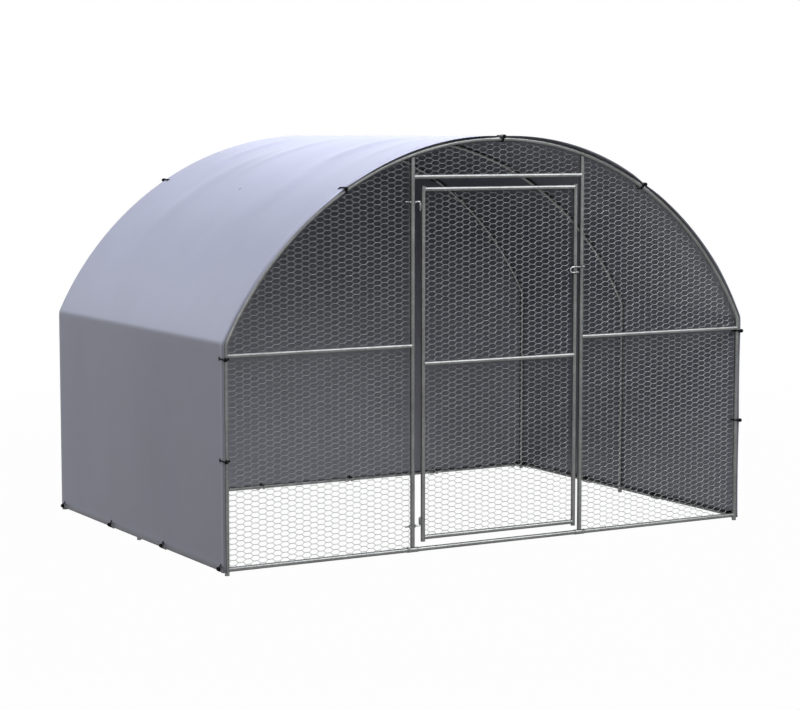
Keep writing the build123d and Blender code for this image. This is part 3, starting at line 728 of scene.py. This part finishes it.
# Latch: two short guides on the latch stile, one keeper on the post beside it, and a zinc rod bent
# into a U. The rod's upper leg slides out of its guide into the keeper.
guide_bore = 0.0038
guide_bead = 0.0016
guide_drops = 5
bead_back, bead_rise = 0.9, 0.55
latch_stub = 0.004
for node, body in (("latch_guides", "door"), ("latch_keeper", "frame")):
    low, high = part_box(node)
    axis_y = (low.y + high.y) / 2
    outer = (high.y - low.y) / 2
    levels = (high.z - outer,) if body == "frame" else (high.z - outer, low.z + outer)
    guide = bmesh.new()
    for level in levels:
        cut_tube(guide, (low.x, axis_y, level), (high.x, axis_y, level), outer, guide_bore)
    ease(guide, sleeve_rim)
    middle = (low.x + high.x) / 2
    for level in levels:
        for side in (-1, 1):
            line_y, line_z = axis_y + outer * bead_back, level + side * outer * bead_rise
            spots = [middle + (i - guide_drops // 2) * bead_step for i in range(guide_drops)]
            weld(guide, [(spot_x, line_y, line_z) for spot_x in spots], guide_bead)
    make_tube(guide, f"{node}_welded", node, body)
low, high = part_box("latch_bolt")
latch_radius = (high.y - low.y) / 2
latch_y = (low.y + high.y) / 2
upper_leg, lower_leg = high.z - latch_radius, low.z + latch_radius
loop_radius = (upper_leg - lower_leg) / 2
loop_x = low.x + latch_radius + loop_radius
stub_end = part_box("latch_guides")[1].x + latch_stub
bolt = bmesh.new()
bend_rod(
    bolt,
    (high.x, latch_y, upper_leg),
    latch_radius,
    (
        ("run", (loop_x - high.x, 0, 0)),
        ("bend", ((loop_x, latch_y, lower_leg + loop_radius), (0, 1, 0), -pi)),
        ("run", (stub_end - loop_x, 0, 0)),
    ),
)
make_piece(bolt, "latch_rod", "latch", "zinc_hardware", zinc_plate, "latch_bolt")

# Cover: one sheet of grey coated tarpaulin over the roof, both sides and the back, with folded hems.
# It is drawn over the hoops by elastic ties, so it is straight between them with a few soft folds.
cover_offset = 0.0127
sheet_thickness = 0.0009
hem_drop = 0.0125
hem_height = base_height - hem_drop
cover_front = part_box("cover_roof")[0].y
hem_width = 0.030
skin_step = 0.0198
shoulder_steps = 5
corner_steps = 4
back_steps = 46
fold_back = 0.003
back_y = hoop_y["back"]
cover = bmesh.new()
cut = cover.verts.layers.float_vector.new("cut")
start = cover.verts.new((-leg_x - cover_offset, cover_front, hem_height))


def draw_edge(geom, run=(0, 0, 0), steps=1, centre=(0, 0, 0), angle=0.0):
    """Draws a corner point on into an edge line of the sheet."""
    drawn = bmesh.ops.spin(
        cover, geom=geom, cent=centre, axis=(0, 1, 0), dvec=Vector(run) / steps, angle=angle, steps=steps
    )
    return [item for item in drawn["geom_last"] if isinstance(item, bmesh.types.BMVert)]


def face_outward():
    """Turns all faces of the sheet outward, as the one at the ridge shows."""
    bmesh.ops.recalc_face_normals(cover, faces=cover.faces)
    cover.normal_update()
    top_face = max(cover.faces, key=lambda face: face.calc_center_median().z)
    if top_face.normal.z < 0:
        bmesh.ops.reverse_faces(cover, faces=cover.faces)
        cover.normal_update()


wall_run = bend_z - hem_height - hem_width - fold_back
wall_steps = int(wall_run / skin_step)
roof_steps = int(2 * roof_angle * (arch_radius + cover_offset) / skin_step)
tip = draw_edge([start], (0, 0, hem_width))
tip = draw_edge(tip, (0, 0, fold_back))
tip = draw_edge(tip, (0, 0, wall_run), wall_steps)
tip = draw_edge(tip, steps=shoulder_steps, centre=(-bend_x, cover_front, bend_z), angle=pi / 2 - roof_angle)
tip = draw_edge(tip, steps=roof_steps, centre=(0, cover_front, arch_centre), angle=2 * roof_angle)
tip = draw_edge(tip, steps=shoulder_steps, centre=(bend_x, cover_front, bend_z), angle=pi / 2 - roof_angle)
tip = draw_edge(tip, (0, 0, -wall_run), wall_steps)
tip = draw_edge(tip, (0, 0, -fold_back))
draw_edge(tip, (0, 0, -hem_width))
along, before, last = 0.0, start, None
while before is not None:
    before[cut] = (along, 0, 0)
    ahead = [edge.other_vert(before) for edge in before.link_edges if edge.other_vert(before) is not last]
    last, before = before, ahead[0] if ahead else None
    if before is not None:
        along += (before.co - last.co).length
girth = along
depth = back_y - cover_front - hem_width - fold_back
edge_line = cover.edges[:]
edge_line = draw_out(cover, edge_line, (0, hem_width, 0))
edge_line = draw_out(cover, edge_line, (0, fold_back, 0))
edge_line = draw_out(cover, edge_line, (0, depth, 0), int(depth / skin_step))
face_outward()
hoop_line = {vert: vert.normal.copy() for vert in verts_of(edge_line)}
for i in range(1, corner_steps + 1):
    turn = pi / 2 * i / corner_steps
    sink = cover_offset * (cos(turn) - cos(turn - pi / 2 / corner_steps))
    push = cover_offset * (sin(turn) - sin(turn - pi / 2 / corner_steps))
    edge_line = draw_out(cover, edge_line, (0, push, 0))
    after = {}
    for vert in verts_of(edge_line):
        for edge in vert.link_edges:
            other = edge.other_vert(vert)
            if other in hoop_line:
                after[vert] = hoop_line[other]
    for vert, out_way in after.items():
        flat = Vector((out_way.x, 0, out_way.z)).normalized()
        vert.co += flat * sink
        vert.co.z = max(vert.co.z, hem_height)
    hoop_line = after
back_centre = Vector((0, back_y + cover_offset, hem_height))
for i in range(back_steps):
    keep = 1 - 1 / (back_steps - i)
    edge_line = draw_out(cover, edge_line)
    verts = verts_of(edge_line)
    if keep > 0:
        bmesh.ops.scale(cover, verts=verts, vec=(keep, 1, keep), space=Matrix.Translation(-back_centre))
    else:
        bmesh.ops.pointmerge(cover, verts=verts, merge_co=back_centre)
bmesh.ops.remove_doubles(cover, verts=cover.verts, dist=0.0001)
face_outward()

# Edge and folds of the cover: the ties hold its front edge and hems at the places below. Between them
# the edge stands off a little, and the cloth sags and folds between the hoops.
hem_lift = 0.0008
line_slack = 0.001
roof_reach = 0.014
wall_reach = 0.004
tie_reach = 0.003
roof_lift = 0.008
edge_push = 1.5
roof_start = 0.3
tie_rise = 3
rail_grip = 0.014
slack_reach = 0.22
ridge_rest = 0.15
sag = 0.004
ripple_height, fine_ripple = 0.005, 0.0016
wall_share = 0.6
back_wave = 0.006
past_corner = 0.9
fold_spare, fold_fade = 0.2, 0.5
tie_angle = radians(31.5)
tie_heights = (0.532, 1.0015)
hem_inset = 0.040
eyelet_setback = 0.040
hem_eyelet = base_height + 0.0135
wall_length = bend_z - hem_height + (pi / 2 - roof_angle) * (shoulder_bend + cover_offset)
ridge_length = girth / 2
held_at = sorted(
    [0.0, girth, ridge_length]
    + [height - hem_height for height in tie_heights]
    + [girth - height + hem_height for height in tie_heights]
    + [ridge_length + side * tie_angle * (arch_radius + cover_offset) for side in (-1, 1)]
)


def edge_reach(along):
    """How far the front edge stands past its line: on the roof most between ties, on the walls at them."""
    free = 0.0
    for a, b in zip(held_at, held_at[1:]):
        if a <= along <= b:
            part = (along - a) / (b - a)
            free = 4 * part * (1 - part)
    on_wall = wall_reach * (1 - free)
    on_roof = tie_reach + (roof_reach - tie_reach) * min(1.0, tie_rise * free)
    up_roof = max(0.0, min(1.0, (min(along, girth - along) - wall_length) / roof_start))
    return on_wall + (on_roof - on_wall) * up_roof


def edge_lift(along):
    """How far the front edge stands off the arch between the three ties of the roof."""
    part = abs(along - ridge_length) / (tie_angle * (arch_radius + cover_offset))
    return roof_lift * max(0.0, 4 * part * (1 - part))


folds = (
    # along the girth from the left hem and depth, at both ends, then half width and height
    (1.55, 0.52, 2.30, 0.40, 0.085, 0.009),
    (2.15, 0.27, 2.75, 0.14, 0.060, 0.010),
    (1.85, -0.48, 2.20, -0.44, 0.075, 0.006),
    (2.25, -0.42, 2.75, -0.38, 0.060, 0.010),
    (2.20, 0.73, 2.70, 0.69, 0.060, 0.009),
    (1.30, -0.20, 1.90, -0.30, 0.100, 0.005),
    (2.30, -0.72, 2.75, -0.66, 0.060, 0.005),
    (3.10, -0.38, 4.20, -0.52, 0.080, 0.008),
    (3.05, 0.30, 4.05, 0.52, 0.070, 0.008),
    (3.50, 0.18, 4.30, 0.30, 0.065, 0.006),
    (3.00, 0.72, 3.70, 0.78, 0.070, 0.006),
)


def fold_height(along, y):
    """Height of the soft folds at a place on the sheet."""
    total = 0.0
    place = Vector((along, y))
    for a0, y0, a1, y1, width, height in folds:
        start, run = Vector((a0, y0)), Vector((a1 - a0, y1 - y0))
        part = (place - start).dot(run) / run.length_squared
        part = max(-fold_spare, min(1 + fold_spare, part))
        away = (place - start - run * part).length
        ends = min(1.0, (part + fold_spare) / fold_fade) * min(1.0, (1 + fold_spare - part) / fold_fade)
        total += height * ends * exp(-((away / width) ** 2))
    return total


def between_hoops(y):
    """0 on a hoop and 1 half way between two."""
    part = (y - front_y) / (hoop_y["middle"] - front_y)
    return sin(pi * max(0.0, min(2.0, part))) ** 2


for vert in cover.verts:
    along, y = vert[cut].x, vert.co.y
    vert[cut] = (along, y, 0)
    if y > back_y:
        below_arch = arch_radius - sqrt(vert.co.x**2 + (vert.co.z - arch_centre) ** 2)
        clear = min(leg_x - abs(vert.co.x), below_arch, vert.co.z - base_height) - rail_grip
        inward = min(1.0, clear / slack_reach)
        wave = noise.noise(Vector((vert.co.x * 2.6, 7.3, vert.co.z * 0.9)))
        wave += 0.5 * noise.noise(Vector((vert.co.x * 6.0 + vert.co.z, 2.1, vert.co.z * 1.7)))
        vert[cut] = (vert.co.x, vert.co.z, 0)
        if y > back_y + cover_offset * past_corner:
            vert.co.y += max(0.0, inward) * (back_wave * wave - sag)
        continue
    loose = between_hoops(y) * max(0.0, min(1.0, (vert.co.z - base_height - rail_grip) / slack_reach))
    front_hem = y < cover_front + hem_width + line_slack
    low_hem = vert.co.z < hem_height + hem_width + line_slack
    lift = hem_lift if front_hem or low_hem else 0.0
    ripple = noise.noise(Vector((along * 1.1, y * 2.8, 4.0))) * ripple_height
    ripple += noise.noise(Vector((along * 3.0, y * 6.5, 9.0))) * fine_ripple
    on_roof = 1.0 if wall_length < along < girth - wall_length else wall_share
    off_ridge = min(1.0, abs(along - ridge_length) / ridge_rest)
    lift += loose * off_ridge * (ripple * on_roof - sag) + loose**0.5 * fold_height(along, y)
    if front_hem:
        lift += edge_lift(along)
    vert.co += vert.normal * lift
    if y < cover_front + line_slack:
        vert.co.y -= edge_reach(along) + edge_push * edge_lift(along)


def tarpaulin_finish():
    """Woven tape cloth with a smooth coating: fine weave and a little dust."""
    made = bpy.data.materials.new("tarpaulin")
    made.use_nodes = True
    nodes = made.node_tree
    link = nodes.links.new
    shader = nodes.nodes["Principled BSDF"]
    shader.inputs["IOR"].default_value = 1.45
    shader.inputs["Specular IOR Level"].default_value = 0.5
    place = nodes.nodes.new("ShaderNodeAttribute")
    place.attribute_name = "cut"
    waves = []
    for direction in ("X", "Y"):
        tape = add_node(nodes, "ShaderNodeTexWave", Scale=160.0, Distortion=0.0)
        tape.bands_direction = direction
        link(place.outputs["Vector"], tape.inputs["Vector"])
        waves.append(tape)
    weave_mix = add_node(nodes, "ShaderNodeMath", "MULTIPLY")
    for i, tape in enumerate(waves):
        link(tape.outputs["Fac"], weave_mix.inputs[i])
    clouds = add_node(nodes, "ShaderNodeTexNoise", Scale=2.2, Detail=6.0, Roughness=0.62)
    spot = nodes.nodes.new("ShaderNodeTexCoord")
    link(spot.outputs["Object"], clouds.inputs["Vector"])
    tones = nodes.nodes.new("ShaderNodeValToRGB")
    tones.color_ramp.elements[0].position = 0.30
    tones.color_ramp.elements[0].color = (0.330, 0.332, 0.380, 1)
    tones.color_ramp.elements[1].position = 0.72
    tones.color_ramp.elements[1].color = (0.375, 0.377, 0.432, 1)
    link(clouds.outputs["Fac"], tones.inputs["Fac"])
    threads = nodes.nodes.new("ShaderNodeMix")
    threads.data_type = "RGBA"
    threads.blend_type = "MULTIPLY"
    threads.inputs["B"].default_value = (0.90, 0.90, 0.92, 1)
    link(weave_mix.outputs[0], threads.inputs["Factor"])
    link(tones.outputs["Color"], threads.inputs["A"])
    link(threads.outputs["Result"], shader.inputs["Base Color"])
    gloss = add_node(nodes, "ShaderNodeMapRange", To_Min=0.34, To_Max=0.46)
    link(clouds.outputs["Fac"], gloss.inputs["Value"])
    link(gloss.outputs["Result"], shader.inputs["Roughness"])
    relief = add_node(nodes, "ShaderNodeBump", Strength=0.25, Distance=0.0003)
    link(weave_mix.outputs[0], relief.inputs["Height"])
    link(relief.outputs["Normal"], shader.inputs["Normal"])
    return made


tarpaulin = tarpaulin_finish()
for face in cover.faces:
    face.smooth = True
cover_mesh = bpy.data.meshes.new("cover")
cover.to_mesh(cover_mesh)
cover.free()
cover_mesh.materials.append(tarpaulin)
cover_sheet = bpy.data.objects.new("cover", cover_mesh)
scene.collection.objects.link(cover_sheet)
doubled = cover_sheet.modifiers.new("thickness", "SOLIDIFY")
doubled.thickness = sheet_thickness
doubled.offset = -1.0
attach(cover_sheet, "frame")
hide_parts("cover_roof", "cover_left_wall", "cover_right_wall", "cover_back_wall")
back_area = 2 * leg_x * (shoulder_height - hem_height) + arch_radius**2 * roof_angle
back_area -= leg_x * (shoulder_height - arch_centre)

# Ties: black elastic cord through an eyelet in the cover and round the tube, held by a black ball.
# The eyelets are dark pressed rings. Those of the front hoop have their ball in front of the tube.
cord_radius = 0.0021
ball_radius = 0.010
ball_rise = 0.011
hem_ball_reach = 0.0263
edge_seat = 0.0146
back_seat = 0.0163
ridge_tie_x = 0.014
side_tie_count = 4
back_tie_count = 6
eyelet_middle = 0.0079
eyelet_rim = 0.0029
eyelet_flat = 0.45
eyelet_sides, eyelet_steps = 8, 20
ball_sides, ball_rows = 20, 12
back_eyelet_drop = 0.0151
spare_angle = radians(33.2)
spare_size = 0.6
ties = []
outward_left, outward_right, rearward = Vector((-1, 0, 0)), Vector((1, 0, 0)), Vector((0, 1, 0))
for angle in (-tie_angle, ridge_tie_x / arch_radius, tie_angle):
    out_way = Vector((sin(angle), 0, cos(angle)))
    ties.append(("edge", Vector((0, front_y, arch_centre)) + out_way * arch_radius, rearward, out_way))
for angle in (-tie_angle, tie_angle):
    out_way = Vector((sin(angle), 0, cos(angle)))
    ties.append(("back", Vector((0, back_y, arch_centre)) + out_way * arch_radius, -rearward, out_way))
for side, out_way in ((-1, outward_left), (1, outward_right)):
    for height in tie_heights:
        ties.append(("edge", Vector((side * leg_x, front_y, height)), rearward, out_way))
    spread = (back_y - front_y - 2 * hem_inset) / (side_tie_count - 1)
    for i in range(side_tie_count):
        tie_y = front_y + hem_inset + i * spread
        ties.append(("hem", Vector((side * leg_x, tie_y, base_height)), up, out_way))
spread = 2 * (leg_x - hem_inset) / (back_tie_count - 1)
for i in range(back_tie_count):
    ties.append(("hem", Vector((hem_inset - leg_x + i * spread, back_y, base_height)), up, rearward))
balls_at = {
    "edge": (-edge_seat - ball_radius, ball_rise),
    "back": (-back_seat - ball_radius, ball_rise),
    "hem": (0, hem_ball_reach),
}
eyelets_at = {"edge": eyelet_setback, "back": eyelet_setback, "hem": hem_eyelet - base_height}
# Each route runs from the ball over the cover, down through the eyelet, round the tube and back to
# the ball. A point gives how far it lies toward the eyelet, the strand's place beside the middle, and
# how far out it lies.
routes_of = {
    "edge": (
        (-0.0205, 0.0012, 0.0150),
        (-0.0130, 0.0022, 0.0196),
        (0.0080, 0.0022, 0.0164),
        (0.0330, 0.0022, 0.0166),
        (0.0410, 0.0022, 0.0166),
        (0.0400, 0.0022, 0.0040),
        (0.0360, 0.0022, -0.0142),
        (0.0000, 0.0022, -0.0140),
        (-0.0138, 0.0022, -0.0132),
        (-0.0140, 0.0022, 0.0000),
        (-0.0154, 0.0022, 0.0080),
        (-0.0205, 0.0012, 0.0105),
    ),
    "back": (
        (-0.0215, 0.0012, 0.0150),
        (-0.0150, 0.0022, 0.0215),
        (0.0080, 0.0022, 0.0164),
        (0.0330, 0.0022, 0.0166),
        (0.0410, 0.0022, 0.0166),
        (0.0400, 0.0022, 0.0040),
        (0.0360, 0.0022, -0.0152),
        (0.0000, 0.0022, -0.0151),
        (-0.0120, 0.0022, -0.0151),
        (-0.0174, 0.0022, -0.0140),
        (-0.0158, 0.0022, 0.0000),
        (-0.0167, 0.0022, 0.0085),
        (-0.0215, 0.0012, 0.0105),
    ),
    "hem": (
        (0.0030, 0.0012, 0.0230),
        (0.0090, 0.0022, 0.0190),
        (0.0150, 0.0022, 0.0172),
        (0.0138, 0.0022, 0.0060),
        (0.0140, 0.0040, -0.0080),
        (0.0040, 0.0090, -0.0156),
        (-0.0110, 0.0150, -0.0140),
        (-0.0160, 0.0185, -0.0010),
        (-0.0170, 0.0200, 0.0125),
        (-0.0110, 0.0170, 0.0205),
        (-0.0050, 0.0080, 0.0235),
        (-0.0020, 0.0015, 0.0240),
    ),
}

ball_plastic = bpy.data.materials.new("ball_plastic")
ball_plastic.use_nodes = True
nodes = ball_plastic.node_tree
shader = nodes.nodes["Principled BSDF"]
grain = add_node(nodes, "ShaderNodeTexNoise", Scale=900.0, Detail=3.0)
spot = nodes.nodes.new("ShaderNodeTexCoord")
nodes.links.new(spot.outputs["Object"], grain.inputs["Vector"])
tones = nodes.nodes.new("ShaderNodeValToRGB")
tones.color_ramp.elements[0].color = (0.004, 0.004, 0.005, 1)
tones.color_ramp.elements[1].color = (0.010, 0.010, 0.011, 1)
shader.inputs["Specular IOR Level"].default_value = 0.06
nodes.links.new(grain.outputs["Fac"], tones.inputs["Fac"])
nodes.links.new(tones.outputs["Color"], shader.inputs["Base Color"])
gloss = add_node(nodes, "ShaderNodeMapRange", To_Min=0.50, To_Max=0.66)
nodes.links.new(grain.outputs["Fac"], gloss.inputs["Value"])
nodes.links.new(gloss.outputs["Result"], shader.inputs["Roughness"])

balls = bmesh.new()
eyelets = bmesh.new()
routes = bpy.data.curves.new("tie_routes", "CURVE")
routes.dimensions = "3D"
routes.bevel_depth = cord_radius
routes.bevel_resolution = 2
routes.resolution_u = 6
routes.use_fill_caps = True


def press_eyelet(place):
    """A flat ring pressed into the cover, facing along Z of its place."""
    section = place @ Matrix.Translation((eyelet_middle, 0, 0)) @ Matrix.Diagonal((1, 1, eyelet_flat, 1))
    section @= Matrix.Rotation(pi / 2, 4, "X")
    ring = bmesh.ops.create_circle(eyelets, segments=eyelet_sides, radius=eyelet_rim, matrix=section)
    loop = edges_of(ring["verts"])
    bmesh.ops.spin(
        eyelets,
        geom=ring["verts"] + loop,
        cent=place.translation,
        axis=place.to_3x3() @ up,
        angle=2 * pi,
        steps=eyelet_steps,
        use_merge=True,
    )


for kind, centre, toward, out_way in ties:
    side_way = out_way.cross(toward)
    place = Matrix.Translation(centre) @ Matrix((toward, side_way, out_way)).transposed().to_4x4()
    along, out = balls_at[kind]
    seat = place @ Matrix.Translation((along, 0, out))
    bmesh.ops.create_uvsphere(
        balls,
        u_segments=ball_sides,
        v_segments=ball_rows,
        radius=ball_radius,
        matrix=seat,
    )
    press_eyelet(place @ Matrix.Translation((eyelets_at[kind], 0, cover_offset)))
    if kind == "back":
        behind = place @ Matrix.Translation((-cover_offset, 0, -back_eyelet_drop))
        press_eyelet(behind @ Matrix.Rotation(-pi / 2, 4, "Y"))
    for side in (-1, 1):
        points = routes_of[kind]
        route = routes.splines.new("NURBS")
        route.points.add(len(points) - 1)
        for point, (along, apart, out) in zip(route.points, points):
            point.co = (*(place @ Vector((along, side * apart, out))), 1)
        route.order_u = 3
        route.use_endpoint_u = True
for angle in (-spare_angle, spare_angle):
    out_way = Vector((sin(angle), 0, cos(angle)))
    spot = Vector((0, hoop_y["middle"], arch_centre)) + out_way * (arch_radius + cover_offset)
    press_eyelet(facing(spot, spot + out_way) @ Matrix.Scale(spare_size, 4))
make_piece(balls, "tie_ball_set", "frame", "ball_plastic", ball_plastic, "tie_balls")
eyelet_finish = zinc_finish("eyelet_metal", (0.11, 0.11, 0.115, 1), (0.06, 0.06, 0.064, 1), 0.30, 0.9)
make_piece(eyelets, "cover_eyelets", "frame", "zinc_hardware", eyelet_finish)
route_object = bpy.data.objects.new("tie_routes", routes)
scene.collection.objects.link(route_object)
drawn = route_object.evaluated_get(bpy.context.evaluated_depsgraph_get())
cord_mesh = bpy.data.meshes.new_from_object(drawn)
bpy.data.objects.remove(route_object)
cords = bmesh.new()
cords.from_mesh(cord_mesh)
bmesh.ops.remove_doubles(cords, verts=cords.verts, dist=cord_radius / 50)
bpy.data.meshes.remove(cord_mesh)
elastic = ball_plastic.copy()
elastic.name = "elastic_cord"
make_piece(cords, "tie_elastic", "frame", "elastic_cord", elastic, "tie_cords")
